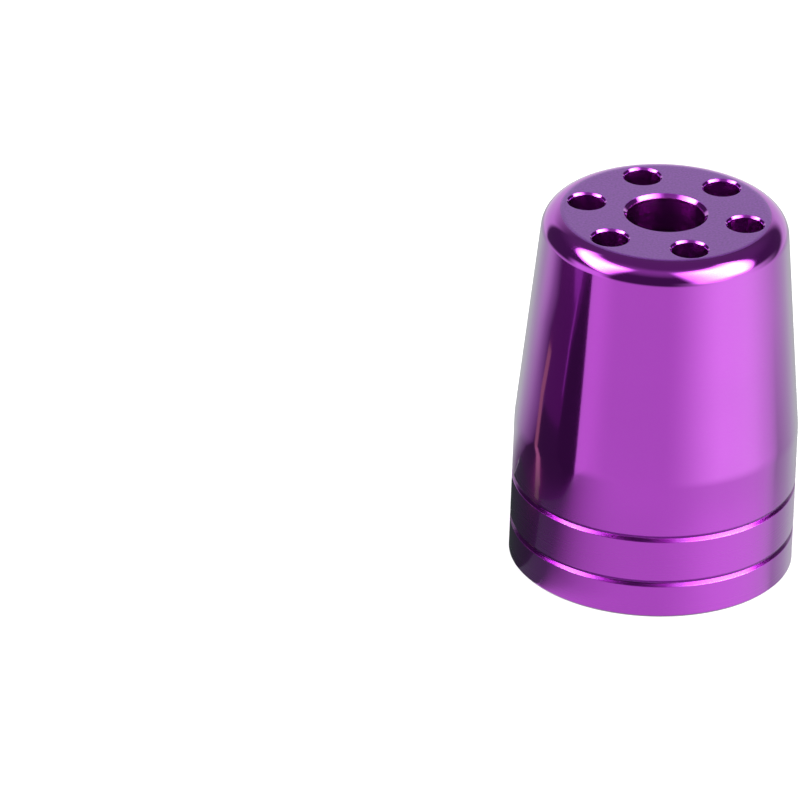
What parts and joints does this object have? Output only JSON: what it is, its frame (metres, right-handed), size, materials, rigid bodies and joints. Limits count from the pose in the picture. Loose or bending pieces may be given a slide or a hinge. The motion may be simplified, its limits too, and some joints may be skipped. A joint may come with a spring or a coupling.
{
  "type": "bar end weight",
  "caption": "Tapered hollow bar end weight turned from anodised aluminium, with a grooved skirt, a rounded shoulder and a drilled end face.",
  "frame": {"origin": "on the axis, in the plane of the open rim on which the part stands", "axes": "+Z along the turning axis, from the open rim to the drilled end face; +X through the middle of the first hole of the ring"},
  "size_m": [0.038, 0.038, 0.051],
  "materials": {
    "purple_anodised": "bright purple anodised over fine turning lines"
  },
  "bodies": {
    "root": {"bar_end_weight": "purple_anodised"}
  },
  "joints": []
}
